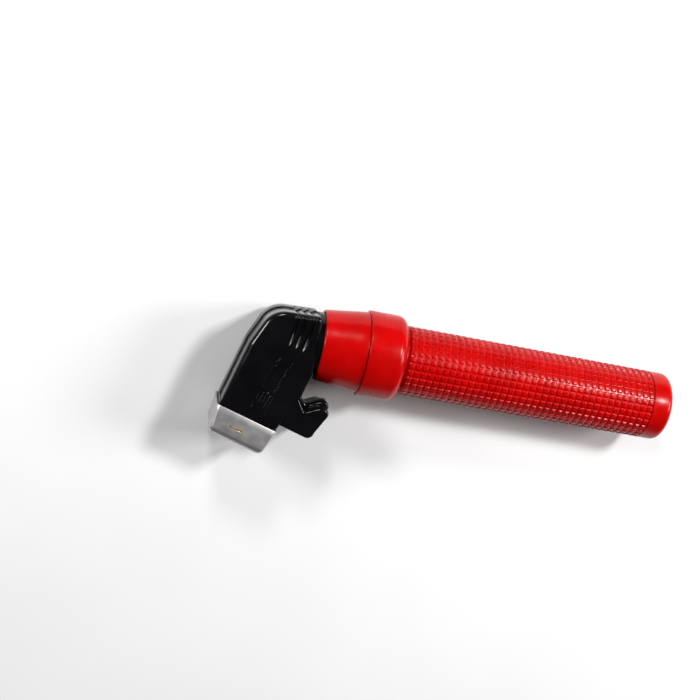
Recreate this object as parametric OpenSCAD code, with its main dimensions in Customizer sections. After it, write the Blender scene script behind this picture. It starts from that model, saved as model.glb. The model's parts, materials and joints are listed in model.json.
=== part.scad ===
// Twist-grip electrode holder for manual arc welding, 400 A size.
//
// +X runs along the handle towards the cable end and +Z is normal to the head's broad
// faces. The angled head's tip points towards -Y. The origin is on the handle's axis,
// at the cable end. Unscrewing the handle moves it towards +X. It draws the push rod
// back, which turns the clamp rocker about its pin and opens the jaw.

/* [Handle] */
// Diameter of the grip
grip_d = 40; // [39:0.5:41]
// Length of the handle moulding, cable end to front edge
handle_len = 184.5; // [184.5:0.5:188]
// Diameter of the handle's thick front section
shoulder_d = 49.6; // [49:0.2:51]
// Length of the thick front section
shoulder_len = 22.5; // [22:0.5:24]
// Diameter of the bore inside the handle
handle_bore_d = 32; // [31.6:0.1:32.4]
// Diameter of the cable entry hole
cable_entry_d = 22; // [16:1:26]
// Thickness of the wall around the cable entry
cable_wall = 6; // [4:1:8]

/* [Front collar] */
// Length of the tapered collar in front of the handle
collar_len = 25.2; // [24.8:0.1:25.4]
// Diameter of the collar's front edge
collar_front_d = 40.6; // [40.4:0.2:41.2]
// Diameter of the collar's rear edge
collar_rear_d = 47.2; // [46:0.2:48]

/* [Head] */
// Distance from the cable end to the point where electrode axis and handle axis cross
head_reach = 230; // [229.5:0.5:230.5]
// Lean of the electrode axis from square to the handle
head_tilt = 16.4; // [16:0.1:17]
// Thickness of the plastic head
head_t = 36.4; // [36:0.2:37]
// Distance from the crossing point to the tip plane
tip_reach = 63.2; // [63:0.1:64]
// Diameter of the neck that enters the collar
neck_d = 37.2; // [37:0.1:37.4]

/* [Tip cap] */
// Length of the sheet metal cap along the electrode axis
cap_len = 16.2; // [15:0.1:17]
// Width of the cap at its open edge
cap_w = 37.4; // [37:0.1:38]
// Width of the cap at the tip
cap_tip_w = 34; // [33.6:0.1:34.6]
// Thickness of the cap across the broad faces
cap_t = 38; // [37.6:0.1:38.4]
// Sheet thickness of the cap
cap_sheet = 1; // [0.8:0.1:1.2]

/* [Clamp mechanism] */
// Diameter of the electrode bore
electrode_bore_d = 7.2; // [7:0.1:7.4]
// Opening angle of the clamp rocker
rocker_swing = 11; // [9:0.5:11]
// Thickness of the rocker
rocker_t = 8; // [7:0.5:8]
// Diameter of the rocker's pivot pin
pivot_d = 5; // [4:0.5:5]
// Diameter of the push rod
rod_d = 8; // [7:0.5:8]
// Outer diameter of the conducting stem and of its drive thread
stem_d = 22; // [21.8:0.1:22.2]
// Radial running clearance of the moving fits
fit_gap = 0.05; // [0.03:0.01:0.08]

/* [Cable socket] */
// Diameter of the socket's cable bore
socket_bore_d = 16; // [12:1:17]
// Outer diameter of the socket
socket_d = 26; // [25:0.5:27]
// Length of the socket
socket_len = 50; // [48:1:52]

/* [Hidden] */
$fn = 96;
HULL_FN = 28;

// Stations along the handle's axis
shoulder_x = -handle_len + shoulder_len;
collar_x = -handle_len - collar_len;
neck_end_x = -196;
nut_x0 = -handle_len + 4.5;
nut_x1 = -handle_len + 17.5;
ring_x0 = nut_x1 + 1.7;
ring_x1 = ring_x0 + 8;
cross_pin_x = (ring_x0 + ring_x1) / 2;
washer_t = 1.5;
spring_x0 = -215;
spring_x1 = -170;
slider_x1 = -153;
rod_seat = 5.5;
stem_x0 = 3 - head_reach;
stem_step_x = 10.6 - head_reach;
stem_x1 = -100;
socket_x0 = stem_x1 - 12;
socket_x1 = socket_x0 + socket_len;

// Radii and clearances that several pieces share
stem_r = stem_d / 2;
spigot_r = 9;
rod_r = rod_d / 2;
stem_bore_r = 7;
ring_r = handle_bore_d / 2 - 0.3;
nut_flats = 34;
seal_r = 1.1;
seal_x = -202;
collar_bore_r = neck_d / 2 + 0.6;
cavity_w = 27.2;
cavity_t = 27;
neck_root_x = 16.4 - head_reach;
spigot_y = cap_len - tip_reach + 2;
stem_pin_r = 1.5;
stem_pin_x = 8 - head_reach;
cross_pin_r = 2.5;
socket_pin_r = 2;
socket_pin_x = stem_x1 - 6;
cable_screw_x = [socket_x1 - 24, socket_x1 - 10];
socket_web = 6;
collar_seat_r = 21.5;
collar_step_x = -198;
collar_step_r = 20;
block_t = 23;

// Pivot, contact point and travel of the rocker, in the head's frame
pivot = [-1.5, -24];
rocker_tip_x = -7.4;
rocker_tip = [rocker_tip_x * cos(head_tilt), rocker_tip_x * sin(head_tilt)];
rocker_tip_r = 3;
slot_w = 2 * rocker_tip_r + 0.3;
slot_t = rocker_t + 0.5;

// ---- helpers ----

// Solid cylinder on the handle's axis
module rod(x0, x1, r, sides = $fn) {
    translate([x0, 0, 0]) rotate([0, 90, 0]) cylinder(h = x1 - x0, r = r, $fn = sides);
}

// Truncated cone on the handle's axis
module cone(x0, x1, r0, r1) {
    translate([x0, 0, 0]) rotate([0, 90, 0]) cylinder(h = x1 - x0, r1 = r0, r2 = r1);
}

// Ring on the handle's axis
module tube(x0, x1, outer_r, inner_r) {
    difference() {
        rod(x0, x1, outer_r);
        rod(x0 - 1, x1 + 1, inner_r);
    }
}

// Pin across the handle's axis, along Z
module z_pin(p, r, h) {
    translate([p[0], p[1], 0]) cylinder(h = h, r = r, center = true);
}

// The head's frame: its origin is the crossing point and -Y is the electrode axis
module in_head() {
    translate([-head_reach, 0, 0]) rotate([0, 0, -head_tilt]) children();
}

// Two balls, one near each broad face of the head
module ball_pair(x, y, r, t) {
    for (side = [-1, 1]) translate([x, y, side * (t / 2 - r)]) sphere(r = r, $fn = HULL_FN);
}

// Tapered box with round edges in the head's frame, as wide as w0 at y0 and w1 at y1
module tapered_box(w0, y0, w1, y1, t, edge_r, tip_r) {
    hull() {
        for (side = [-1, 1], face = [-1, 1]) {
            translate([side * (w0 / 2 - edge_r), y0, face * (t / 2 - edge_r)])
                rotate([90, 0, 0]) cylinder(h = 0.2, r = edge_r, $fn = HULL_FN);
            translate([side * (w1 / 2 - tip_r), y1 + tip_r, face * (t / 2 - tip_r)])
                sphere(r = tip_r, $fn = HULL_FN);
        }
    }
}

// Slab of the head's thickness direction cut to an outline in the head's frame
module slab(points, t) {
    linear_extrude(height = t, center = true) polygon(points);
}

// ---- head ----

// Outside of the head: a domed front corner, a flat top, straight sides and a rear face
module head_body() {
    dome_r = 14.66;
    edge_r = 4;
    hull() {
        translate([-head_reach, 0, 0]) ball_pair(15.4, 15.2, 3, head_t);
        in_head() {
            for (side = [-1, 1])
                translate([-2.1, 2.5, side * (head_t / 2 - edge_r)])
                    rotate_extrude($fn = 56) translate([dome_r - edge_r, 0])
                        circle(r = edge_r, $fn = 20);
            ball_pair(-14.6, -9, edge_r, head_t);
            ball_pair(19.8, -9.5, 2.4, head_t);
            ball_pair(19.6, -23, 2.4, head_t);
            for (side = [-1, 1], face = [-1, 1])
                translate([side * 14.7, cap_len - tip_reach + 0.3, face * (head_t / 2 - 3)])
                    rotate([90, 0, 0]) cylinder(h = 0.2, r = 3, $fn = HULL_FN);
        }
    }
}

// Thumb tab below the neck, with a higher ridge along its middle
module thumb_tab() {
    corner_r = 3.8;
    bottom_y = -43.2;
    outer_profile = [[14, -18], [21.3, -24.9], [25, -28.3], [28.1, -29.9], [30, -27.8],
        [34, -24.5], [36.4, -23.7], [39.6, -24.5], [40.8, -25.8], [38.2, -37.5]];
    ridge_profile = [[14, -17], [21.5, -23.2], [26, -26.4], [28.8, -27.2], [31.5, -25.2],
        [35.5, -21.8], [38.6, -21.2], [40.9, -23.2], [38.4, -37.5]];
    foot = [[34.4, -37.5], [34.4, bottom_y], [14, bottom_y]];
    in_head() {
        slab(concat(outer_profile, foot), 34);
        slab(concat(ridge_profile, foot), 12);
        z_pin([34.2, bottom_y + corner_r], corner_r, 34);
    }
}

module head_shell() {
    cavity_outline = [[-cavity_w / 2, -tip_reach - 5], [cavity_w / 2, -tip_reach - 5],
        [cavity_w / 2, 10.6], [7.4, 14.5], [-5.4, 10.9], [-10.2, 10.5], [-cavity_w / 2, 7]];
    color([0.05, 0.05, 0.055])
    difference() {
        union() {
            head_body();
            rod(stem_step_x, neck_root_x, neck_d / 2 - 2);
            rod(neck_root_x, neck_end_x, neck_d / 2);
            thumb_tab();
            in_head() tapered_box(cap_w - 2.2, spigot_y, cap_tip_w - 2.2, 1.2 - tip_reach,
                cap_t - 2.2, 2.2, 2.8);
        }
        in_head() slab(cavity_outline, cavity_t);
        for (x = [4.5, 8.8, 13]) translate([x - head_reach, 0, 0]) flute();
        rod(stem_step_x - 4, neck_end_x + 1, stem_r + fit_gap);
        tube(seal_x - seal_r, seal_x + seal_r, neck_d, neck_d / 2 - 1.7);
    }
}

// Shallow groove over the head's top and a little way down each broad face
module flute() {
    flute_r = 2;
    translate([0, 19.2, 0]) cylinder(h = head_t + 2, r = flute_r, center = true, $fn = HULL_FN);
    for (side = [-1, 1])
        translate([-0.8, 12.5, side * (head_t / 2 + 1.2)]) rotate([90, 0, -8.7])
            cylinder(h = 15, r = flute_r, center = true, $fn = HULL_FN);
}

// Deep-drawn cap with a window for the electrode and a lanced slot on each broad face
module tip_cap() {
    slot_len = 7.5;
    color([0.62, 0.6, 0.6])
    in_head() difference() {
        tapered_box(cap_w, cap_len - tip_reach, cap_tip_w, -tip_reach, cap_t, 3, 3.8);
        tapered_box(cap_w - 2 * cap_sheet, cap_len - tip_reach + 0.1, cap_tip_w - 2 * cap_sheet,
            cap_sheet - tip_reach, cap_t - 2 * cap_sheet, 2.2, 2.8);
        translate([0, -tip_reach, 0]) cube([22, 6, 24], center = true);
        translate([-3, 7.6 - tip_reach, 0]) cube([slot_len, 0.8, 2 * cap_t], center = true);
    }
}

// Heat-proof insert with the funnel that guides the electrode into the bore
module tip_insert() {
    insert_len = 7.15;
    mouth_r = 8;
    straight_len = 3;
    color([0.16, 0.16, 0.17])
    in_head() translate([0, cap_sheet - tip_reach + 0.05, 0]) rotate([-90, 0, 0]) difference() {
        union() {
            translate([0, 0, insert_len / 2]) cube([24.4, 26.6, insert_len], center = true);
            translate([0, 0, insert_len / 2 + 0.7]) cube([26.8, 26.6, insert_len - 1.4], center = true);
        }
        translate([0, 0, -1]) cylinder(h = insert_len + 2, r = electrode_bore_d / 2);
        translate([0, 0, -0.01])
            cylinder(h = insert_len - straight_len, r1 = mouth_r, r2 = electrode_bore_d / 2);
    }
}

// ---- clamp mechanism ----

// Brass block with the stem socket, the cheeks of the rocker and the fixed jaw
module jaw_block() {
    jaw_end = 9 - tip_reach;
    outline = [[-12.5, 7.3], [-9.8, 10], [13, 10], [13, -40], [12, jaw_end], [0, jaw_end],
        [0, -34], [-12.5, -34]];
    color([0.8, 0.62, 0.25])
    difference() {
        union() {
            in_head() slab(outline, block_t);
            rod(-2 - head_reach, stem_step_x, block_t / 2);
        }
        in_head() {
            slab([[-20, 8], [4, 8], [4, -35], [-20, -35]], slot_t);
            translate([0, jaw_end - 1, 0]) rotate([-90, 0, 0])
                cylinder(h = -34 - jaw_end + 1, r = electrode_bore_d / 2);
            z_pin(pivot, pivot_d / 2, block_t + 2);
        }
        rod(-head_reach - 20, stem_x0, 6.5);
        rod(stem_x0 - 1, stem_step_x + 1, spigot_r);
        rod(stem_step_x, stem_step_x + 8, stem_r + fit_gap);
        z_pin([stem_pin_x, 0], stem_pin_r, block_t + 2);
    }
}

// Lever that presses the electrode against the fixed jaw
module clamp_rocker() {
    nose_end = 9.4 - tip_reach;
    upper_arm = [[rocker_tip[0] - 1.9, rocker_tip[1]], [rocker_tip[0] + 1.9, rocker_tip[1]],
        [pivot[0] + 4.6, pivot[1]], [pivot[0] - 4.6, pivot[1]]];
    lower_arm = [[-6.4, -23], [3.2, -25.5], [-0.6, -32], [-3.9, -36], [-3.9, -43.5], [-0.5, -45.5],
        [-0.5, nose_end], [-6.6, nose_end], [-8.6, -36]];
    nose = [[-2, -45], [1.9, -46], [1.9, nose_end + 0.8], [1.1, nose_end], [-2, nose_end]];
    color([0.68, 0.5, 0.22])
    in_head() difference() {
        union() {
            z_pin(rocker_tip, rocker_tip_r, rocker_t);
            z_pin(pivot, 5, rocker_t);
            slab(upper_arm, rocker_t);
            slab(lower_arm, rocker_t);
            slab(nose, 4.8);
        }
        z_pin(pivot, pivot_d / 2 + fit_gap, rocker_t + 2);
    }
}

module rocker_pin() {
    color([0.6, 0.61, 0.63]) in_head() z_pin(pivot, pivot_d / 2, block_t);
}

// Rod that pushes and draws the rocker's end, which sits in the slot of its head
module push_rod() {
    head_front = rocker_tip_x - slot_w / 2 - 2;
    head_rear = rocker_tip_x + slot_w / 2 + 2.2;
    head_r = 6.3;
    head_flat = 3;
    color([0.7, 0.7, 0.72])
    difference() {
        union() {
            cone(head_front - head_reach, head_front + 1.8 - head_reach, 4.5, head_r);
            rod(head_front + 1.8 - head_reach, head_rear - head_reach, head_r);
            rod(head_rear - head_reach, spring_x1 + rod_seat, rod_r);
        }
        translate([rocker_tip_x - head_reach, 0, 0]) cube([slot_w, 20, slot_t], center = true);
        translate([head_front - 1 - head_reach, -head_r - 1, -head_r])
            cube([head_rear - head_front + 1, head_r + 1 - head_flat, 2 * head_r]);
    }
}

// Guide on the push rod's rear end, drilled for the cross pin
module rod_slider() {
    color([0.8, 0.62, 0.25])
    difference() {
        rod(spring_x1, slider_x1, stem_bore_r - fit_gap);
        rod(spring_x1 - 1, spring_x1 + rod_seat, rod_r);
        z_pin([cross_pin_x, 0], cross_pin_r, 20);
    }
}

module cross_pin() {
    color([0.6, 0.61, 0.63]) z_pin([cross_pin_x, 0], cross_pin_r, 2 * ring_r - 1);
}

// Ring around the stem that carries the thrust of the handle to the cross pin
module thrust_ring() {
    color([0.7, 0.7, 0.72])
    difference() {
        tube(ring_x0, ring_x1, ring_r, stem_r + fit_gap);
        z_pin([cross_pin_x, 0], cross_pin_r, 40);
    }
}

// Round wire wound along the handle's axis, as one swept polyhedron
module coil(x0, x1, coil_r, wire_r, turns) {
    steps = 18;
    sides = 7;
    rings = turns * steps;
    points = [for (i = [0:rings], j = [0:sides - 1])
        let (turn = 360 * i / steps, around = 360 * j / sides, r = coil_r + wire_r * cos(around))
        [x0 + (x1 - x0) * i / rings + wire_r * sin(around), r * cos(turn), r * sin(turn)]];
    wall = [for (i = [0:rings - 1], j = [0:sides - 1])
        let (a = i * sides + j, b = i * sides + (j + 1) % sides) [a, b, b + sides, a + sides]];
    ends = [[for (j = [sides - 1:-1:0]) j], [for (j = [0:sides - 1]) rings * sides + j]];
    polyhedron(points = points, faces = concat(wall, ends), convexity = 10);
}

module return_spring() {
    wire_r = 0.7;
    color([0.55, 0.56, 0.58])
        coil(spring_x0 + wire_r + 0.05, spring_x1 - wire_r - 0.05, 5.6, wire_r, 11);
}

// ---- stem ----

// Conductor from the jaw block to the cable socket, with slots for the cross pin
module stem_tube() {
    slot_x1 = cross_pin_x + 4.4 + 2.7;
    slot_x0 = cross_pin_x - 2.7;
    color([0.8, 0.62, 0.25])
    difference() {
        union() {
            rod(stem_x0, stem_step_x, spigot_r);
            rod(stem_step_x, socket_x0, stem_r);
            rod(socket_x0, stem_x1, spigot_r);
        }
        rod(stem_x0 - 1, spring_x0 + 1, rod_r + fit_gap);
        rod(spring_x0, stem_x1 + 1, stem_bore_r);
        translate([(slot_x0 + slot_x1) / 2, 0, 0])
            cube([slot_x1 - slot_x0, 5.3, stem_d + 2], center = true);
        z_pin([stem_pin_x, 0], stem_pin_r, 24);
        z_pin([socket_pin_x, 0], socket_pin_r, 30);
    }
}

// Two short pins that lock the stem in the jaw block
module stem_pins() {
    color([0.6, 0.61, 0.63])
    for (side = [-1, 1])
        translate([stem_pin_x, 0, side * 8.1])
            cylinder(h = 6.6, r = stem_pin_r, center = true);
}

module lock_washer() {
    color([0.7, 0.7, 0.72]) tube(neck_end_x, neck_end_x + washer_t, 17, stem_r + fit_gap);
}

// Hexagon nut that draws the head's neck against the jaw block
module lock_nut() {
    flats = 30;
    color([0.8, 0.62, 0.25])
    difference() {
        rod(neck_end_x + washer_t, neck_end_x + washer_t + 8, flats / 2 / cos(30), 6);
        rod(neck_end_x, neck_end_x + 20, stem_r);
    }
}

// Rubber ring between the neck and the collar
module neck_seal() {
    color([0.1, 0.1, 0.1])
    translate([seal_x, 0, 0]) rotate([0, 90, 0])
        rotate_extrude() translate([neck_d / 2 - 0.6, 0]) circle(r = seal_r);
}

// Socket for the stripped end of the welding cable
module cable_socket() {
    color([0.8, 0.62, 0.25])
    difference() {
        rod(socket_x0, socket_x1, socket_d / 2);
        rod(socket_x0 - 1, stem_x1, spigot_r);
        rod(stem_x1 + socket_web, socket_x1 + 1, socket_bore_d / 2);
        z_pin([socket_pin_x, 0], socket_pin_r, 40);
        for (x = cable_screw_x) translate([x, 0, 0]) cylinder(h = socket_d, r = 4);
    }
}

// Set screws that clamp the cable, each with a hexagon socket
module cable_screws() {
    color([0.6, 0.61, 0.63])
    for (x = cable_screw_x) translate([x, 0, socket_bore_d / 2 + 0.2]) difference() {
        cylinder(h = 6.4, r = 3.95);
        translate([0, 0, 3]) cylinder(h = 5, r = 2.3, $fn = 6);
    }
}

module socket_pin() {
    color([0.6, 0.61, 0.63]) z_pin([socket_pin_x, 0], socket_pin_r, socket_d - 1);
}

// ---- handle ----

// Nut that runs on the stem's thread and turns with the handle
module drive_nut() {
    color([0.8, 0.62, 0.25])
    difference() {
        rod(nut_x0, nut_x1, nut_flats / 2 / cos(30), 6);
        rod(nut_x0 - 1, nut_x1 + 1, stem_r + fit_gap);
    }
}

module front_thrust_washer() {
    color([0.7, 0.7, 0.72]) tube(nut_x1 + 0.1, nut_x1 + 0.1 + washer_t, ring_r, stem_r + 0.2);
}

module rear_thrust_washer() {
    color([0.7, 0.7, 0.72]) tube(ring_x1 + 0.1, ring_x1 + 0.1 + washer_t, ring_r, stem_r + 0.2);
}

// Snap ring that keeps the thrust pack in the handle
module retaining_ring() {
    color([0.35, 0.36, 0.38])
    difference() {
        tube(ring_x1 + 1.7, ring_x1 + 3.1, handle_bore_d / 2 + 0.9, 13.4);
        translate([ring_x1, -2, 8]) cube([5, 4, 12]);
    }
}

// Tapered collar that covers the neck and closes the drive nut's pocket
module front_collar() {
    lip = 1.6;
    front_r = collar_front_d / 2;
    rear_r = collar_rear_d / 2;
    color([0.8, 0.02, 0.02])
    difference() {
        union() {
            cone(collar_x, collar_x + lip, front_r - 0.9, front_r);
            cone(collar_x + lip, -handle_len, front_r, rear_r);
            rod(-handle_len - 1, nut_x0, collar_seat_r);
        }
        rod(collar_x - 1, collar_step_x, collar_bore_r);
        rod(collar_step_x - 1, nut_x0 + 1, collar_step_r);
    }
}

// Grip moulding: thick front section, round shoulder, bead, grip and cable entry
module handle_grip() {
    shoulder_r = shoulder_d / 2;
    grip_r = grip_d / 2;
    round_r = 5.5;
    end_r = 4;
    color([0.8, 0.02, 0.02])
    difference() {
        union() {
            cone(-handle_len, -handle_len + 0.8, shoulder_r - 0.6, shoulder_r);
            rod(-handle_len + 0.8, shoulder_x - round_r, shoulder_r);
            rounded_end(shoulder_x - round_r, shoulder_r, round_r);
            rod(shoulder_x, shoulder_x + 2, grip_r - 0.7);
            rod(shoulder_x + 1.5, -end_r, grip_r);
            rounded_end(-end_r, grip_r, end_r);
        }
        rod(-handle_len - 1, nut_x0, collar_seat_r);
        rod(nut_x0 - 1, nut_x1, nut_flats / 2 / cos(30), 6);
        rod(nut_x1 - 1, -cable_wall, handle_bore_d / 2);
        rod(-cable_wall - 1, 1, cable_entry_d / 2);
        rod(ring_x1 + 1.6, ring_x1 + 3.2, handle_bore_d / 2 + 1);
    }
}

// Disc from x0 towards +X whose rear rim has a quarter-round of radius round_r
module rounded_end(x0, r, round_r) {
    rod(x0, x0 + round_r, r - round_r);
    translate([x0, 0, 0]) rotate([0, 90, 0]) rotate_extrude() intersection() {
        translate([r - round_r, 0]) circle(r = round_r);
        square([r, round_r]);
    }
}

head_shell();
tip_cap();
tip_insert();
jaw_block();
clamp_rocker();
rocker_pin();
stem_tube();
stem_pins();
lock_washer();
lock_nut();
neck_seal();
return_spring();
push_rod();
rod_slider();
cross_pin();
thrust_ring();
front_thrust_washer();
rear_thrust_washer();
retaining_ring();
drive_nut();
front_collar();
handle_grip();
cable_socket();
socket_pin();
cable_screws();
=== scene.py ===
"""Visual model of the twist-grip electrode holder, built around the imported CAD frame."""
import json
import math
import bmesh
import bpy
import numpy as np
from mathutils import Matrix, Vector


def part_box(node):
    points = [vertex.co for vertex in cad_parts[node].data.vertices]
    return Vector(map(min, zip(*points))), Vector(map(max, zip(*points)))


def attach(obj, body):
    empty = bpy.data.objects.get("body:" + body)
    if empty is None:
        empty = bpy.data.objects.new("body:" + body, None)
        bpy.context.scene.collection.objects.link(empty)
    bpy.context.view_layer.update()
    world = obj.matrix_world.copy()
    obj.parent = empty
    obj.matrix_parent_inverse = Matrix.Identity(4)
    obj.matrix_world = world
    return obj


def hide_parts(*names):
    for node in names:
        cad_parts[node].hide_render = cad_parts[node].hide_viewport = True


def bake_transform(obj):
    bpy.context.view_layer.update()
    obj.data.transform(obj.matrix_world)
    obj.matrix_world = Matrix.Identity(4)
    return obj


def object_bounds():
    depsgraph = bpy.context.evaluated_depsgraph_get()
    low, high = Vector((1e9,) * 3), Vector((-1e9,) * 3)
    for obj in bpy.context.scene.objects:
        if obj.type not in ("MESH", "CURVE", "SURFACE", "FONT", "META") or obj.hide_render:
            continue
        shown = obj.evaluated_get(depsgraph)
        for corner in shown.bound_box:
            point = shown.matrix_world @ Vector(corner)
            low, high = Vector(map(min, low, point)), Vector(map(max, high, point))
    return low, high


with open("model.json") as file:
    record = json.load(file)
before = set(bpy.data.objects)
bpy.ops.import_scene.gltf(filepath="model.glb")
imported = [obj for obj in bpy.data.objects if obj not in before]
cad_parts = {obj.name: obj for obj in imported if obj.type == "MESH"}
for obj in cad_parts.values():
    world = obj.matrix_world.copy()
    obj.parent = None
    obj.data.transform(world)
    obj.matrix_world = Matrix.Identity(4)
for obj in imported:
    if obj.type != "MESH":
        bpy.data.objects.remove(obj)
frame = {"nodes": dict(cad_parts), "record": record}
cad_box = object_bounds()
nodes = frame["nodes"]
record = frame["record"]
MM = 0.001

# ---- driving dimensions, in mm and in the part's frame ----


def span(node, axis):
    """Lowest and highest coordinate of a CAD node along an axis, in mm."""
    low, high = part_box(node)
    return low[axis] / MM, high[axis] / MM


GRIP_FRONT, GRIP_REAR = span("handle_grip", 0)
SHOULDER_R = span("handle_grip", 2)[1]
COLLAR_FRONT = span("front_collar", 0)[0]
mouth = next(m for m in record["mounts"] if m["name"] == "electrode_mouth")
MOUTH, MOUTH_AXIS = Vector(mouth["pos_m"]) / MM, Vector(mouth["axis"])
CROSSING = MOUTH - MOUTH_AXIS * (MOUTH.y / MOUTH_AXIS.y)
HEAD_FRAME = Matrix.Translation(CROSSING) @ Matrix.Rotation(
    math.atan2(MOUTH_AXIS.x, -MOUTH_AXIS.y), 4, "Z")
CAP_T = 2 * span("tip_cap", 2)[1]

# Sizes that the head and the cap share
HEAD_T = CAP_T - 1.6
TIP_Y = -63.18
CAP_LEN = 16.2
CAP_W, CAP_TIP_W = 37.36, 33.95
SHEET = 1.0
NECK_R = 18.6
STEM_BORE_R = 11.05


# ---- mesh helpers ----


def finish_mesh(name, bm, material, sharp=38):
    """Object from a bmesh in mm: normals outward, smooth shaded with sharp edges kept."""
    bmesh.ops.recalc_face_normals(bm, faces=bm.faces)
    bmesh.ops.scale(bm, vec=(MM, MM, MM), verts=bm.verts)
    mesh = bpy.data.meshes.new(name)
    bm.to_mesh(mesh)
    bm.free()
    mesh.materials.append(material)
    mesh.shade_smooth()
    mesh.set_sharp_from_angle(angle=math.radians(sharp))
    obj = bpy.data.objects.new(name, mesh)
    bpy.context.scene.collection.objects.link(obj)
    return obj


def skin(rings, loop=False):
    """Closed bmesh through rings of equally many points, capped at both ends unless it loops."""
    bm = bmesh.new()
    count = len(rings[0])
    verts = [[bm.verts.new(p) for p in ring] for ring in rings]
    for a, b in zip(verts, verts[1:] + ([verts[0]] if loop else [])):
        for j in range(count):
            k = (j + 1) % count
            bm.faces.new((a[j], a[k], b[k], b[j]))
    if not loop:
        bm.faces.new(verts[0][::-1])
        bm.faces.new(verts[-1])
    bmesh.ops.recalc_face_normals(bm, faces=bm.faces)
    return bm


def lathe(profile, segments=160):
    """Closed ring body around the handle's axis through (x, r) stations, outside then inside."""
    turns = [math.tau * j / segments for j in range(segments)]
    return skin([[(x, r * math.cos(turn), r * math.sin(turn)) for turn in turns]
                 for x, r in profile], loop=True)


def arc(cx, cr, r, start, end, steps=6):
    """Points (x, r) of an arc about (cx, cr), angles in degrees from the +X axis."""
    return [(cx + r * math.cos(math.radians(start + (end - start) * i / steps)),
             cr + r * math.sin(math.radians(start + (end - start) * i / steps)))
            for i in range(steps + 1)]


def rounded_rect(w, t, r, y, steps=6):
    """Rounded rectangle in the head's frame at station y, w along X' and t along Z."""
    ring = []
    for sx, sz, start in ((1, 1, 0), (-1, 1, 90), (-1, -1, 180), (1, -1, 270)):
        for i in range(steps + 1):
            turn = math.radians(start + 90 * i / steps)
            ring.append((sx * (w / 2 - r) + r * math.cos(turn), y,
                         sz * (t / 2 - r) + r * math.sin(turn)))
    return ring


def place(bm, matrix):
    """Moves a bmesh by a matrix and hands it back."""
    bmesh.ops.transform(bm, matrix=matrix, verts=bm.verts)
    return bm


def block(x0, x1, y0, y1, z0, z1, bevel=0.0):
    """Box between the given limits, with rounded edges if a bevel is given."""
    bm = bmesh.new()
    bmesh.ops.create_cube(bm, size=1)
    bmesh.ops.transform(bm, verts=bm.verts, matrix=Matrix.LocRotScale(
        ((x0 + x1) / 2, (y0 + y1) / 2, (z0 + z1) / 2), None, (x1 - x0, y1 - y0, z1 - z0)))
    if bevel:
        bmesh.ops.bevel(bm, geom=bm.edges, offset=bevel, segments=3, profile=0.5, affect="EDGES")
    return bm


def spline(points, steps=8):
    """Smooth curve through points (Catmull-Rom), end points included."""
    pts = [Vector(p) for p in points]
    ext = [2 * pts[0] - pts[1]] + pts + [2 * pts[-1] - pts[-2]]
    out = []
    for a, b, c, d in zip(ext, ext[1:], ext[2:], ext[3:]):
        for i in range(steps):
            t = i / steps
            out.append(0.5 * (2 * b + (c - a) * t + (2 * a - 5 * b + 4 * c - d) * t * t
                              + (3 * b - a - 3 * c + d) * t ** 3))
    return out + [pts[-1]]


def to_part(obj):
    """Moves a finished mesh from the head's frame to the part's frame."""
    obj.data.transform(Matrix.Scale(MM, 4) @ HEAD_FRAME @ Matrix.Scale(1 / MM, 4))


def shade(obj, sharp):
    """Smooth shading that keeps edges sharper than the given angle in degrees."""
    obj.data.shade_smooth()
    obj.data.set_sharp_from_angle(angle=math.radians(sharp))


def plate(outline, z0, z1, bevel):
    """Plate between two heights, cut to an outline, with rounded rims."""
    bm = skin([[(p[0], p[1], z) for p in outline] for z in (z0, z1)])
    rims = [e for e in bm.edges if abs(e.verts[0].co.z - e.verts[1].co.z) < 1e-6]
    bmesh.ops.bevel(bm, geom=rims, offset=bevel, segments=4, profile=0.5, affect="EDGES")
    return bm


def boolean(target, cutter, operation):
    """Applies one exact boolean of two objects to the target's mesh and drops the cutter."""
    step = target.modifiers.new("cut", "BOOLEAN")
    step.operation, step.solver, step.object = operation, "EXACT", cutter
    bpy.context.view_layer.update()
    graph = bpy.context.evaluated_depsgraph_get()
    mesh = bpy.data.meshes.new_from_object(target.evaluated_get(graph))
    target.modifiers.clear()
    old, target.data = target.data, mesh
    mesh.name = target.name
    bpy.data.meshes.remove(old)
    bpy.data.objects.remove(cutter)


def add_piece(obj, body, slot, *replaced):
    """Binds a finished piece to its body and hides the CAD nodes it stands for. The slot argument
    is not used.
    """
    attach(obj, body)
    if replaced:
        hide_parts(*replaced)
    return obj


# ---- materials ----


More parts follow.
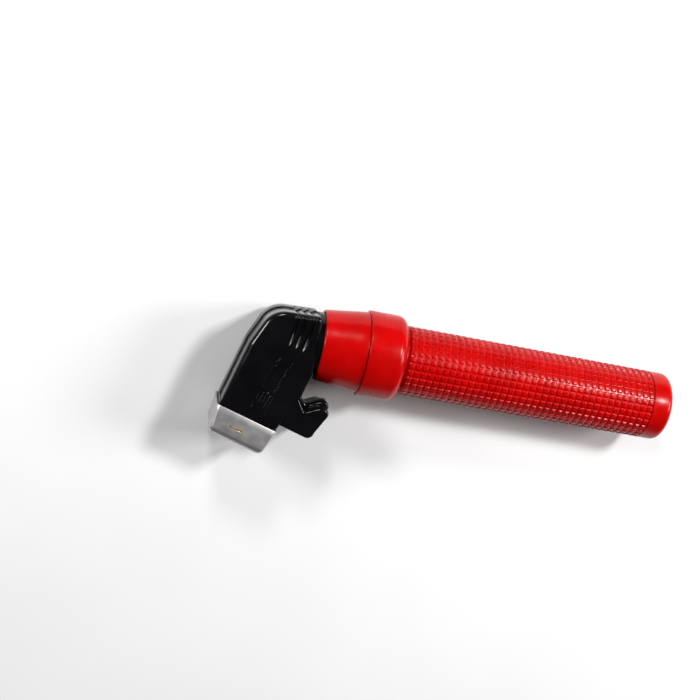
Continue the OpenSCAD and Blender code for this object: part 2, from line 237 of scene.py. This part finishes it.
class Shader:
    """A Principled material whose colour, roughness and bump come from procedural textures."""

    def __init__(self, name, metallic=0.0, specular=0.5):
        self.material = bpy.data.materials.new(name)
        self.material.use_nodes = True
        self.tree = self.material.node_tree
        self.main = self.tree.nodes["Principled BSDF"]
        self.main.inputs["Metallic"].default_value = metallic
        self.main.inputs["Specular IOR Level"].default_value = specular
        self.coords = self.tree.nodes.new("ShaderNodeTexCoord").outputs["Object"]
        self.normal = None

    def mapped(self, stretch):
        """Object coordinates, scaled for each axis."""
        node = self.tree.nodes.new("ShaderNodeMapping")
        node.inputs["Scale"].default_value = stretch
        self.tree.links.new(self.coords, node.inputs["Vector"])
        return node.outputs["Vector"]

    def noise(self, scale, detail=4.0, stretch=(1, 1, 1)):
        """Noise of so many features per metre."""
        node = self.tree.nodes.new("ShaderNodeTexNoise")
        node.inputs["Scale"].default_value = scale
        node.inputs["Detail"].default_value = detail
        self.tree.links.new(self.mapped(stretch), node.inputs["Vector"])
        return node.outputs["Fac"]

    def ramp(self, source, stops):
        """Greys or colours read off a source at the given stops."""
        node = self.tree.nodes.new("ShaderNodeValToRGB")
        for i, (at, value) in enumerate(stops):
            stop = node.color_ramp.elements[i] if i < 2 else node.color_ramp.elements.new(at)
            stop.position = at
            stop.color = (*value, 1) if isinstance(value, tuple) else (value, value, value, 1)
        self.tree.links.new(source, node.inputs["Fac"])
        return node.outputs["Color"]

    def mix(self, factor, a, b):
        """Blend of two colours, each a tuple or a socket."""
        node = self.tree.nodes.new("ShaderNodeMix")
        node.data_type = "RGBA"
        self.tree.links.new(factor, node.inputs["Factor"])
        for socket, value in ((node.inputs["A"], a), (node.inputs["B"], b)):
            if isinstance(value, tuple):
                socket.default_value = (*value, 1)
            else:
                self.tree.links.new(value, socket)
        return node.outputs["Result"]

    def colour(self, source):
        self.tree.links.new(source, self.main.inputs["Base Color"])
        return self

    def roughness(self, source):
        self.tree.links.new(source, self.main.inputs["Roughness"])
        return self

    def bump(self, source, height_mm):
        """Adds relief of the given height on top of the relief so far."""
        node = self.tree.nodes.new("ShaderNodeBump")
        node.inputs["Distance"].default_value = height_mm * MM
        self.tree.links.new(source, node.inputs["Height"])
        if self.normal:
            self.tree.links.new(self.normal, node.inputs["Normal"])
        self.normal = node.outputs["Normal"]
        self.tree.links.new(self.normal, self.main.inputs["Normal"])
        return self


def gloss_plastic(name, deep, light, rough, specular, sink=0.05, specks=0.5):
    """Gloss moulded plastic: slow sink marks, fine orange peel, dust specks and handling haze."""
    s = Shader(name, specular=specular)
    cloud = s.ramp(s.noise(60, 3), [(0.35, deep), (0.68, light)])
    speck = s.ramp(s.noise(1700, 2), [(0.70, 0.0), (0.76, specks)])
    s.colour(s.mix(speck, cloud, tuple(min(1.0, c * 1.5 + 0.012) for c in light)))
    s.roughness(s.ramp(s.noise(140, 5), [(0.3, rough), (0.75, rough + 0.13)]))
    s.bump(s.noise(90, 2), sink)
    s.bump(s.noise(1300, 2), 0.006)
    return s.material


def metal(name, deep, light, rough, grain, grain_mm=0.012, spread=0.14):
    """Bare or plated metal: tone clouds, duller stains and a grain that runs one way."""
    s = Shader(name, metallic=1.0)
    s.colour(s.ramp(s.noise(85, 5), [(0.3, deep), (0.7, light)]))
    s.roughness(s.ramp(s.noise(220, 6), [(0.3, rough), (0.72, rough + spread)]))
    s.bump(s.noise(900, 3, grain), grain_mm)
    return s.material


def matt(name, deep, light, rough, grain_mm):
    """Matt filled plastic or rubber with a fine grain."""
    s = Shader(name, specular=0.35)
    s.colour(s.ramp(s.noise(420, 6), [(0.3, deep), (0.7, light)]))
    s.roughness(s.ramp(s.noise(260, 4), [(0.3, rough), (0.7, rough + 0.15)]))
    s.bump(s.noise(2200, 4), grain_mm)
    return s.material


# Directions in which a metal's grain is drawn out
ACROSS = (0.12, 1, 1)
AROUND = (1, 0.15, 0.15)
MATERIALS = {
    "black_plastic": gloss_plastic(
        "black_plastic", (0.0012, 0.0010, 0.0014), (0.0026, 0.0022, 0.0030), 0.10, 0.24, sink=0.09),
    "red_plastic": gloss_plastic(
        "red_plastic", (0.36, 0.0, 0.0), (0.44, 0.0006, 0.0006), 0.18, 0.16, specks=0.08),
    "nickel_sheet": metal(
        "nickel_sheet", (0.52, 0.49, 0.495), (0.60, 0.575, 0.58), 0.42, ACROSS, 0.010,
        spread=0.08),
    "insert_plastic": matt(
        "insert_plastic", (0.045, 0.043, 0.045), (0.09, 0.088, 0.09), 0.55, 0.05),
    "brass": metal("brass", (0.66, 0.43, 0.15), (0.84, 0.62, 0.27), 0.26, AROUND),
    "steel": metal("steel", (0.46, 0.46, 0.47), (0.62, 0.62, 0.64), 0.28, AROUND),
    "spring_steel": metal("spring_steel", (0.20, 0.20, 0.21), (0.34, 0.34, 0.36), 0.32, AROUND),
    "rubber": matt("rubber", (0.016, 0.016, 0.017), (0.034, 0.033, 0.034), 0.68, 0.04),
}
CAD_SLOTS = {
    "brass": ("jaw_block", "clamp_rocker", "stem_tube", "rod_slider", "drive_nut",
              "cable_socket"),
    "steel": ("rocker_pin", "stem_pins", "lock_washer", "lock_nut", "push_rod", "cross_pin",
              "thrust_ring", "front_thrust_washer", "rear_thrust_washer", "socket_pin",
              "cable_screws"),
    "spring_steel": ("retaining_ring",),
    "rubber": ("neck_seal",),
}
for slot_name, members in CAD_SLOTS.items():
    for member in members:
        mesh = nodes[member].data
        mesh.materials.clear()
        mesh.materials.append(MATERIALS[slot_name])


# ---- handle ----

STUD_PITCH = 4.0
STUD_RINGS = 37
STUDS_AROUND = 30
STUD_FIRST = -160.3
GRIP_R = 20.0
STUD_H = 0.75
SHOULDER_ROUND = 5.5
SHOULDER_REAR = -162.0
END_ROUND = 4.0
COLLAR_RECESS_R = 21.5
NUT_X0, NUT_X1, NUT_FLATS = -180.0, -167.0, 34.0
BORE_R = 16.0
ENTRY_R = 11.0
END_WALL = 6.0
RING_GROOVE = (-155.7, -154.1, 17.0)
# Lines of the mesh across one stud, as shares of its pitch
STUD_LINES = (0.0, 0.08, 0.13, 0.17, 0.22, 0.36, 0.5, 0.64, 0.78, 0.83, 0.87, 0.92)


def pad(u):
    """Height of a stud, 0 to 1, at share u of its pitch: narrow groove, then a domed pad."""
    groove, slope = 0.11, 0.10
    d = 0.5 - abs(u - 0.5)
    rise = min(1.0, max(0.0, (d - groove) / slope))
    return rise * rise * (3 - 2 * rise) * (0.9 + 0.1 * math.sin(math.pi * u))


def grip_radius(x, r, turn):
    """Radius of the studded grip: r is lowered to the grooves between the studs."""
    if r < GRIP_R - 0.01 or not STUD_FIRST < x < STUD_FIRST + STUD_RINGS * STUD_PITCH:
        return r
    along = pad(((x - STUD_FIRST) / STUD_PITCH) % 1)
    around = pad((turn / math.tau * STUDS_AROUND) % 1)
    return r - STUD_H * (1 - along * around)


def hex_radius(_, r, turn):
    """Radius of a hexagon of half width across flats r."""
    sixth = math.pi / 3
    return r / math.cos((turn + sixth / 2) % sixth - sixth / 2)


def handle_grip():
    """Handle moulding: front rim, thick section, shoulder, bead, studded grip, bored inside."""
    outside = [(GRIP_FRONT, COLLAR_RECESS_R), (GRIP_FRONT, SHOULDER_R - 1.0)]
    outside += arc(GRIP_FRONT + 0.9, SHOULDER_R - 0.9, 0.9, 180, 90, 4)
    outside += [(-178, SHOULDER_R), (-173, SHOULDER_R)]
    outside += arc(SHOULDER_REAR - SHOULDER_ROUND, SHOULDER_R - SHOULDER_ROUND,
                   SHOULDER_ROUND, 90, 8, 10)
    outside += [(-162.3, 19.55), (-161.9, 19.3), (-161.2, 19.35)]
    outside += arc(-160.3, 19.3, 0.75, 170, 40, 4)
    for ring in range(STUD_RINGS):
        outside += [(STUD_FIRST + (ring + u) * STUD_PITCH, GRIP_R) for u in STUD_LINES
                    if ring or u > 0.3]
    stud_end = STUD_FIRST + STUD_RINGS * STUD_PITCH
    outside += [(stud_end, GRIP_R), (stud_end + 0.4, GRIP_R - 0.06), (-8, GRIP_R)]
    outside += arc(-END_ROUND, GRIP_R - END_ROUND, END_ROUND, 90, 0, 8)
    inside = [(GRIP_REAR, ENTRY_R + 0.6)] + arc(-0.6, ENTRY_R + 0.6, 0.6, 0, -90, 3)
    inside += [(-END_WALL, ENTRY_R), (-END_WALL, BORE_R)]
    front, rear, groove_r = RING_GROOVE
    inside += [(rear, BORE_R), (rear, groove_r), (front, groove_r), (front, BORE_R)]
    inside += [(NUT_X1, BORE_R), (NUT_X1, NUT_FLATS / 2), (NUT_X0, NUT_FLATS / 2),
               (NUT_X0, COLLAR_RECESS_R)]
    hexed = {(NUT_X1, NUT_FLATS / 2), (NUT_X0, NUT_FLATS / 2)}
    turns = [math.tau * (k + u) / STUDS_AROUND for k in range(STUDS_AROUND)
             for u in STUD_LINES]
    rings = []
    for x, r in outside + inside:
        radius = hex_radius if (x, r) in hexed else grip_radius
        rings.append([(x, radius(x, r, turn) * math.cos(turn), radius(x, r, turn) * math.sin(turn))
                      for turn in turns])
    return finish_mesh("grip_moulding", skin(rings, loop=True), MATERIALS["red_plastic"], 50)


add_piece(handle_grip(), "handle", "red_plastic", "handle_grip")

COLLAR_FRONT_R, COLLAR_REAR_R = 20.3, 23.6
COLLAR_BORE_R, COLLAR_STEP_X, COLLAR_REAR_BORE_R = 19.2, -199.0, 20.0
COLLAR_LIP, COLLAR_LIP_DROP = 1.7, 0.95


def front_collar():
    """Tapered collar with a rolled front lip, seated in the handle's recess."""
    outside = [(NUT_X0, COLLAR_RECESS_R - 0.03), (GRIP_FRONT - 0.02, COLLAR_RECESS_R - 0.03),
               (GRIP_FRONT - 0.02, COLLAR_REAR_R - 0.5)]
    outside += arc(GRIP_FRONT - 0.5, COLLAR_REAR_R - 0.5, 0.48, 0, 90, 4)
    slope = (COLLAR_REAR_R - COLLAR_FRONT_R) / (GRIP_FRONT - COLLAR_FRONT)
    for share in (0.8, 0.6, 0.4, 0.2):
        x = COLLAR_FRONT + share * (GRIP_FRONT - COLLAR_FRONT)
        outside.append((x, COLLAR_FRONT_R + slope * (x - COLLAR_FRONT)))
    for step in range(9):
        turn = math.radians(90 * step / 8)
        outside.append((COLLAR_FRONT + COLLAR_LIP * (1 - math.sin(turn)),
                        COLLAR_FRONT_R + slope * COLLAR_LIP
                        - COLLAR_LIP_DROP * (1 - math.cos(turn))))
    inside = [(COLLAR_FRONT + 0.15, COLLAR_BORE_R),
              (COLLAR_STEP_X, COLLAR_BORE_R), (COLLAR_STEP_X, COLLAR_REAR_BORE_R),
              (NUT_X0, COLLAR_REAR_BORE_R)]
    bm = lathe(outside + inside)
    return finish_mesh("collar_moulding", bm, MATERIALS["red_plastic"])


add_piece(front_collar(), "handle", "red_plastic", "front_collar")


# ---- head ----

# The head's outline is the taut band around these circles (x, y, radius)
HEAD_ROUNDS = ((-2.1, 2.5, 14.62), (-14.6, -9.0, 3.96), (10.5, 18.93, 2.95),
               (19.8, -9.5, 2.35), (19.6, -23.0, 2.35), (17.0, -49.0, 0.6), (-17.0, -49.0, 0.6))
HEAD_BOTTOM = CAP_LEN + TIP_Y + 0.3
HEAD_CENTRE = (-0.5, -12.0)
RAYS = 560
# The front half ends at the seam and is smaller than the rear half by this step
SEAM_STEP = 0.4
SEAM_Z = -3.5


def support(phi):
    """Distance from the head's centre to the tangent line with normal direction phi."""
    cx, cy = HEAD_CENTRE
    return np.max([(x - cx) * np.cos(phi) + (y - cy) * np.sin(phi) + r
                   for x, y, r in HEAD_ROUNDS], axis=0)


PHI = np.linspace(0, math.tau, 1440, endpoint=False)
SUPPORT = support(PHI)
THETA = np.linspace(0, math.tau, RAYS, endpoint=False)


def reach(inset):
    """Distance along each ray to the head's outline, drawn in by inset (one value per ray)."""
    angle = THETA[:, None] - PHI[None, :]
    cosine = np.cos(angle)
    inset = np.broadcast_to(inset, THETA.shape)
    far = np.where(cosine > 0.05, (SUPPORT[None, :] - inset[:, None]) / np.maximum(cosine, 0.05),
                   1e9)
    down = np.sin(THETA)
    floor = np.where(down < -0.05, (HEAD_BOTTOM - HEAD_CENTRE[1]) / np.minimum(down, -0.05), 1e9)
    return np.minimum(far.min(axis=1), floor)


def segment_distance(px, py, a, b):
    """Distance from points to the segment a-b and the share of the way along it."""
    ax, ay, dx, dy = a[0], a[1], b[0] - a[0], b[1] - a[1]
    t = np.clip(((px - ax) * dx + (py - ay) * dy) / (dx * dx + dy * dy), 0, 1)
    return np.hypot(px - ax - t * dx, py - ay - t * dy), t


def path_distance(px, py, path):
    """Distance to a path and the share of its length at the nearest point."""
    best, share = np.full(px.shape, 1e9), np.zeros(px.shape)
    for i, (a, b) in enumerate(zip(path, path[1:])):
        d, t = segment_distance(px, py, a, b)
        nearer = d < best
        best = np.where(nearer, d, best)
        share = np.where(nearer, (i + t) / (len(path) - 1), share)
    return best, share


def soft(x, edge0, edge1):
    """Smooth step from 0 at edge0 to 1 at edge1."""
    t = np.clip((x - edge0) / (edge1 - edge0), 0, 1)
    return t * t * (3 - 2 * t)


# Paths of the three flutes, from behind the top edge down the broad face
FLUTES = (
    ((-1.1, 21.0), (-0.7, 17.5), (0.4, 10.5), (1.1, 4.0), (1.2, -9.0)),
    ((3.0, 22.5), (3.4, 19.0), (4.6, 10.5), (5.2, 4.0), (5.1, -9.0)),
    ((7.0, 23.5), (7.4, 20.0), (9.2, 11.0), (9.6, 4.0), (9.0, -8.5)),
)
FLUTE_PATHS = [[tuple(p) for p in spline(path, 6)] for path in FLUTES]
FLUTE_W, FLUTE_DEPTH = 1.6, 1.35
# The framed panel: left, right, bottom and top
PANEL = (0.6, 8.0, -28.0, -11.5)
PANEL_LEAN, FRAME_H, PANEL_SINK = 0.06, 0.42, 0.22
RIBS = (
    ((1.1, -9.0), (-0.9, -41.0)), ((8.5, -9.0), (7.4, -41.0)),
    ((1.9, -30.0), (1.5, -37.0)), ((3.9, -29.5), (3.6, -36.0)), ((5.9, -30.5), (5.5, -38.5)),
)
RIB_W, RIB_H = 0.5, 0.45


def relief(px, py):
    """Height of the broad face above its plane: flutes, thin ribs and the framed panel."""
    z = np.zeros(px.shape)
    for path in FLUTE_PATHS:
        d, share = path_distance(px, py, path)
        fade = 1 - soft(share, 0.62, 1.0)
        z -= FLUTE_DEPTH * fade * (1 - soft(d, 0.15, FLUTE_W))
    for a, b in RIBS:
        d, _ = segment_distance(px, py, a, b)
        z += RIB_H * (1 - soft(d, 0.15, RIB_W))
    x0, x1, y0, y1 = PANEL
    lean = (px - x0) - PANEL_LEAN * (py - y1)
    side = np.minimum(np.minimum(lean, (x1 - x0) - lean), np.minimum(py - y0, y1 - py))
    z += FRAME_H * (1 - soft(np.abs(side), 0.12, 0.5))
    z -= PANEL_SINK * soft(side, 0.3, 0.8)
    return z


def head_body():
    """Solid of the head: two halves with relief and round edges, which meet at the seam.

    The rounding of the rim is larger on the left and a little larger along the top.
    """
    left = np.clip(-np.cos(THETA), 0, 1)
    upper = np.clip(np.sin(THETA), 0, 1)
    edge_r = 2.0 + 2.6 * left + 0.8 * upper
    edge_drop = 1.8 + 1.6 * left + 0.6 * upper
    cx, cy = HEAD_CENTRE
    zmax = HEAD_T / 2
    steps = 9

    def half(z_sign, step_in):
        """Rings of one half from the middle of its broad face to the seam."""
        rings = []
        inner = reach(step_in + edge_r)
        spots = [(inner * share, np.zeros(RAYS)) for share in np.linspace(0.02, 1.0, 84)]
        for step in range(1, steps + 1):
            turn = math.pi / 2 * step / steps
            spots.append((reach(step_in + edge_r * (1 - math.sin(turn))),
                          edge_drop * (1 - math.cos(turn))))
        for far, drop in spots:
            px, py = cx + far * np.cos(THETA), cy + far * np.sin(THETA)
            rings.append(np.stack([px, py, z_sign * (zmax - drop + relief(px, py))], axis=1))
        px, py = rings[-1][:, 0], rings[-1][:, 1]
        notch = np.zeros(RAYS)
        for path in FLUTE_PATHS:
            d, _ = path_distance(px, py, path)
            notch = np.maximum(notch, FLUTE_DEPTH * 0.8 * (1 - soft(d, 0.1, FLUTE_W + 0.1)))
        low_z = z_sign * SEAM_Z
        for z, inset in ((zmax * 0.62, step_in), (low_z + 0.45, step_in),
                         (low_z + 0.15, step_in + 0.12), (low_z, step_in + 0.3)):
            far = reach(inset + notch)
            px, py = cx + far * np.cos(THETA), cy + far * np.sin(THETA)
            rings.append(np.stack([px, py, np.full(RAYS, z_sign * z)], axis=1))
        return rings

    front, back = half(1, SEAM_STEP), half(-1, 0.0)
    return skin([[tuple(p) for p in ring] for ring in front + back[::-1][1:]])


# Wavy tops of the tab's outer ridges and of its middle ridge, which is higher
TAB_OUTER = ((14, -20), (21.5, -25.2), (24.5, -27.8), (27.2, -29.7), (29.4, -28.4),
             (32, -26.1), (34.5, -24.2), (37.0, -23.6), (39.3, -24.2), (40.5, -26.3),
             (39.6, -31.0), (38.0, -38.5))
TAB_RIDGE = ((14, -19), (21.8, -23.4), (25.0, -25.8), (28.0, -27.2), (30.4, -26.2),
             (33.0, -23.8), (35.8, -21.8), (38.4, -21.3), (40.4, -22.9), (40.7, -25.4),
             (39.7, -31.0), (38.0, -38.5))
TAB_FOOT_R = 3.8
TAB_FOOT_X, TAB_FOOT_Y = 38.0, -43.15
TAB_T, TAB_RIDGE_T, TAB_GROOVE = 34.0, 11.8, 0.35
TAB_ROOT_X = 14

# Outline of the hollow for the jaw block
CAVITY = ((-13.6, TIP_Y - 5), (13.6, TIP_Y - 5), (13.6, 10.6), (7.4, 14.5), (-5.4, 10.9),
          (-10.2, 10.5), (-13.6, 7.0))
CAVITY_Z = 13.5


def tab_outline(top, inset=0.0):
    """Outline of a tab plate: the wavy top, the round lower corner and the straight foot."""
    wave = [(p.x - inset * 0.3, p.y - inset) for p in spline(top, 6)]
    corner = arc(TAB_FOOT_X - TAB_FOOT_R - inset, TAB_FOOT_Y + TAB_FOOT_R + inset * 0.4,
                 TAB_FOOT_R, 0, -90, 8)
    return [Vector(p) for p in wave + corner + [(TAB_ROOT_X, TAB_FOOT_Y + inset * 0.4)]]


def thumb_tab():
    """Thumb tab of three ridges side by side on a lower core."""
    black = MATERIALS["black_plastic"]
    edge, split = TAB_T / 2, TAB_RIDGE_T / 2
    core_z = edge - 1.2
    core = finish_mesh("tab", plate(tab_outline(TAB_OUTER, 1.6), -core_z, core_z, 0.5), black)
    for outline, z0, z1 in ((TAB_OUTER, split + TAB_GROOVE, edge), (TAB_RIDGE, -split, split),
                            (TAB_OUTER, -edge, -split - TAB_GROOVE)):
        ridge = finish_mesh("ridge", plate(tab_outline(outline), z0, z1, 1.25), black)
        boolean(core, ridge, "UNION")
    return core


def head_shell():
    """Head moulding: body, neck, tab and the spigot under the cap, with cavity and stem bore."""
    black = MATERIALS["black_plastic"]
    shell = finish_mesh("head_moulding", head_body(), black)
    boolean(shell, thumb_tab(), "UNION")
    w, tip_w = CAP_W - 2.2, CAP_TIP_W - 2.2
    spigot_t = CAP_T - 2.2
    spigot = [rounded_rect(w, spigot_t, 2.2, HEAD_BOTTOM + 2),
              rounded_rect(w, spigot_t, 2.2, CAP_LEN + TIP_Y)]
    for i in range(6):
        turn = math.pi / 2 * i / 5
        inset = 2 * 2.8 * (1 - math.cos(turn))
        spigot.append(rounded_rect(tip_w - inset, spigot_t - inset, max(2.8 - inset / 2, 0.4),
                                   TIP_Y + 1.2 + 2.8 * (1 - math.sin(turn))))
    boolean(shell, finish_mesh("spigot", skin(spigot), black), "UNION")
    to_part(shell)
    neck_x0, neck_x1 = CROSSING.x + 10.6, -196.0
    rear_face = CROSSING.x + 16.4
    seal_x0, seal_x1, seal_r = -203.1, -200.9, 16.9
    root_r, core_r, chamfer = 16.4, 8.0, 0.5
    neck = [(neck_x0, root_r), (rear_face, root_r), (rear_face + 0.8, NECK_R), (seal_x0, NECK_R),
            (seal_x0, seal_r), (seal_x1, seal_r), (seal_x1, NECK_R), (neck_x1 - chamfer, NECK_R),
            (neck_x1, NECK_R - chamfer), (neck_x1, core_r), (neck_x0, core_r)]
    boolean(shell, finish_mesh("neck", lathe(neck), black), "UNION")
    stem_x = CROSSING.x + 6.6
    cavity = place(skin([[(x, y, z) for x, y in CAVITY] for z in (-CAVITY_Z, CAVITY_Z)]),
                   HEAD_FRAME)
    boolean(shell, finish_mesh("cavity", cavity, black), "DIFFERENCE")
    bore = skin([[(x, STEM_BORE_R * math.cos(a), STEM_BORE_R * math.sin(a))
                  for a in np.linspace(0, math.tau, 96, endpoint=False)]
                 for x in (stem_x, neck_x1 + 1)])
    boolean(shell, finish_mesh("bore", bore, black), "DIFFERENCE")
    shade(shell, 40)
    return shell


add_piece(head_shell(), "head", "black_plastic", "head_shell")


# ---- tip cap and insert ----

SLOT_X, SLOT_Y, SLOT_LEN = -3.0, TIP_Y + 7.3, 7.5
TONGUE_DEPTHS = (0.3, 0.95)


def cap_rings(w, tip_w, t, edge_r, tip_r, y_open, y_tip):
    """Rings of the drawn cap from its open edge to its tip, whose rim is rounded."""
    rings = []
    for share in (0.0, 0.25, 0.5, 0.75):
        y = y_open + share * (y_tip + tip_r - y_open)
        rings.append(rounded_rect(w + share * (tip_w - w), t, edge_r, y))
    for i in range(9):
        turn = math.pi / 2 * i / 8
        inset = tip_r * (1 - math.cos(turn))
        rings.append(rounded_rect(tip_w - 2 * inset, t - 2 * inset,
                                  max(edge_r - inset * 0.6, 0.8),
                                  y_tip + tip_r * (1 - math.sin(turn))))
    return rings


def tip_cap():
    """Deep-drawn sheet cap with a rounded window and a lanced slot on each broad face."""
    nickel, brass = MATERIALS["nickel_sheet"], MATERIALS["brass"]
    y_open = CAP_LEN + TIP_Y
    outer = cap_rings(CAP_W, CAP_TIP_W, CAP_T, 3.0, 3.8, y_open - 0.3, TIP_Y)
    inner = cap_rings(CAP_W - 2 * SHEET, CAP_TIP_W - 2 * SHEET, CAP_T - 2 * SHEET, 2.0, 2.8,
                      y_open - 0.3, TIP_Y + SHEET)
    rim = [rounded_rect(CAP_W - 0.25, CAP_T - 0.25, 2.9, y_open),
           rounded_rect(CAP_W - 2 * SHEET + 0.25, CAP_T - 2 * SHEET + 0.25, 2.1, y_open)]
    cap = finish_mesh("cap_drawn", skin(outer[::-1] + rim + inner), nickel)
    cap.data.materials.append(brass)
    window = skin([rounded_rect(22, 24, 3.2, y) for y in (TIP_Y - 2, TIP_Y + 3)])
    boolean(cap, finish_mesh("window", window, nickel), "DIFFERENCE")
    left, right = SLOT_X - SLOT_LEN / 2, SLOT_X + SLOT_LEN / 2
    wide, leg = 0.75, 1.7
    for x0, x1, length in ((left, right, wide), (left, left + wide, leg),
                           (right - wide, right, leg)):
        cut = finish_mesh("slot", block(x0, x1, SLOT_Y, SLOT_Y + length, -CAP_T, CAP_T), brass)
        boolean(cap, cut, "DIFFERENCE")
    to_part(cap)
    shade(cap, 38)
    return cap


add_piece(tip_cap(), "head", "nickel_sheet", "tip_cap")

# A brass strip behind the slot of each broad face
for side, name in ((1, "cap_tongue_front"), (-1, "cap_tongue_rear")):
    z0, z1 = sorted(side * (CAP_T / 2 - depth) for depth in TONGUE_DEPTHS)
    tongue = place(block(SLOT_X - 4.2, SLOT_X + 4.2, SLOT_Y - 0.2, SLOT_Y + 2.0, z0, z1, 0.12),
                   HEAD_FRAME)
    add_piece(finish_mesh(name, tongue, MATERIALS["brass"]), "head", "brass")


def tip_insert():
    """Heat-proof insert: rounded block with the electrode's funnel."""
    y0, y1 = TIP_Y + SHEET + 0.05, TIP_Y + SHEET + 7.2
    bore_r, mouth_r, straight = 3.6, 8.0, 3.0
    turns = [math.tau * i / 96 for i in range(96)]

    def square(half_w, half_t, y, power=14):
        """Rounded rectangle with one point per turn, so that it joins round rings."""
        ring = []
        for a in turns:
            c, s = math.cos(a), math.sin(a)
            scale = (abs(c / half_w) ** power + abs(s / half_t) ** power) ** (-1 / power)
            ring.append((c * scale, y, s * scale))
        return ring

    def circle(r, y):
        """Round ring with one point per turn."""
        return [(r * math.cos(a), y, r * math.sin(a)) for a in turns]

    rings = [square(13.4, 13.3, y1), square(13.4, 13.3, y0 + 1.6),
             square(12.9, 13.1, y0 + 1.3), square(12.2, 13.0, y0 + 1.1),
             square(12.2, 13.0, y0 + 0.3), square(11.9, 12.7, y0)]
    rings += [circle(mouth_r + 0.5, y0), circle(mouth_r, y0 + 0.2)]
    for i in range(1, 8):
        share = i / 8
        rings.append(circle(mouth_r + (bore_r - mouth_r) * math.sin(share * math.pi / 2),
                            y0 + 0.2 + share * (y1 - straight - y0 - 0.2)))
    rings += [circle(bore_r, y1 - straight), circle(bore_r, y1)]
    bm = place(skin(rings, loop=True), HEAD_FRAME)
    return finish_mesh("insert_moulding", bm, MATERIALS["insert_plastic"])


add_piece(tip_insert(), "head", "insert_plastic", "tip_insert")


# ---- return spring, which stretches between the stem and the slider ----

low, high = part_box("return_spring")
SPRING_WIRE_R = 0.7
SPRING_R = high.z / MM - SPRING_WIRE_R


def return_spring():
    """Coil of round wire around the push rod."""
    turns, steps, sides = 11, 28, 10
    x0, x1 = low.x / MM + SPRING_WIRE_R, high.x / MM - SPRING_WIRE_R
    rings = []
    for i in range(turns * steps + 1):
        a = math.tau * i / steps
        x = x0 + (x1 - x0) * i / (turns * steps)
        rings.append([(x + SPRING_WIRE_R * math.sin(b),
                       (SPRING_R + SPRING_WIRE_R * math.cos(b)) * math.cos(a),
                       (SPRING_R + SPRING_WIRE_R * math.cos(b)) * math.sin(a))
                      for b in (math.tau * j / sides for j in range(sides))])
    return finish_mesh("spring_coil", skin(rings), MATERIALS["spring_steel"])


spring = return_spring()
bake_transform(spring)
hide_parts("return_spring")


# ---- stage, lights and camera ----

FLOOR_SIZE = 6.0
floor_mesh = bpy.data.meshes.new("floor")
half = FLOOR_SIZE / 2
floor_z = cad_box[0][2] - 0.2 * MM
floor_mesh.from_pydata([(-half, -half, floor_z), (half, -half, floor_z),
                        (half, half, floor_z), (-half, half, floor_z)], [], [(0, 1, 2, 3)])
floor = bpy.data.objects.new("floor", floor_mesh)
bpy.context.scene.collection.objects.link(floor)
paper = Shader("paper", specular=0.2)
paper.colour(paper.ramp(paper.noise(9, 3), [(0.3, (0.73, 0.73, 0.73)), (0.7, (0.76, 0.76, 0.76))]))
paper.roughness(paper.ramp(paper.noise(300, 3), [(0.3, 0.7), (0.7, 0.8)]))
floor_mesh.materials.append(paper.material)

world = bpy.data.worlds.new("studio")
world.use_nodes = True
world.node_tree.nodes["Background"].inputs["Color"].default_value = (1, 1, 1, 1)
world.node_tree.nodes["Background"].inputs["Strength"].default_value = 0.10
bpy.context.scene.world = world

LIGHTS_AIM_AT = Vector((-0.14, -0.01, 0.0))
for name, at, size, power in (
        ("key", (0.37, 0.45, 0.80), (0.16, 0.16), 9.0),
        ("side", (1.15, 0.25, 0.80), (0.50, 0.50), 16.0),
        ("fill", (-1.00, 0.30, 0.60), (0.24, 0.24), 5.5),
        ("back", (-0.50, 0.95, 0.75), (0.22, 0.22), 5.5)):
    light = bpy.data.lights.new(name, "AREA")
    light.shape, light.size, light.size_y, light.energy = "RECTANGLE", size[0], size[1], power
    lamp = bpy.data.objects.new(name, light)
    lamp.location = at
    lamp.rotation_euler = (Vector(at) - LIGHTS_AIM_AT).to_track_quat("Z", "Y").to_euler()
    bpy.context.scene.collection.objects.link(lamp)

CAMERA_AT = Vector((-0.2961, 0.0877, 0.6166))
CAMERA_RIGHT = Vector((0.97010821, 0.200768, 0.13631655))
CAMERA_BACK = Vector((-0.16587943, 0.138604, 0.97635689))
camera_data = bpy.data.cameras.new("camera")
camera_data.lens = 56.79
camera = bpy.data.objects.new("camera", camera_data)
up = CAMERA_BACK.cross(CAMERA_RIGHT)
camera.matrix_world = Matrix.Translation(CAMERA_AT) @ Matrix(
    (CAMERA_RIGHT, up, CAMERA_BACK)).transposed().to_4x4()
bpy.context.scene.collection.objects.link(camera)
bpy.context.scene.camera = camera
bpy.context.scene.view_settings.view_transform = "Standard"
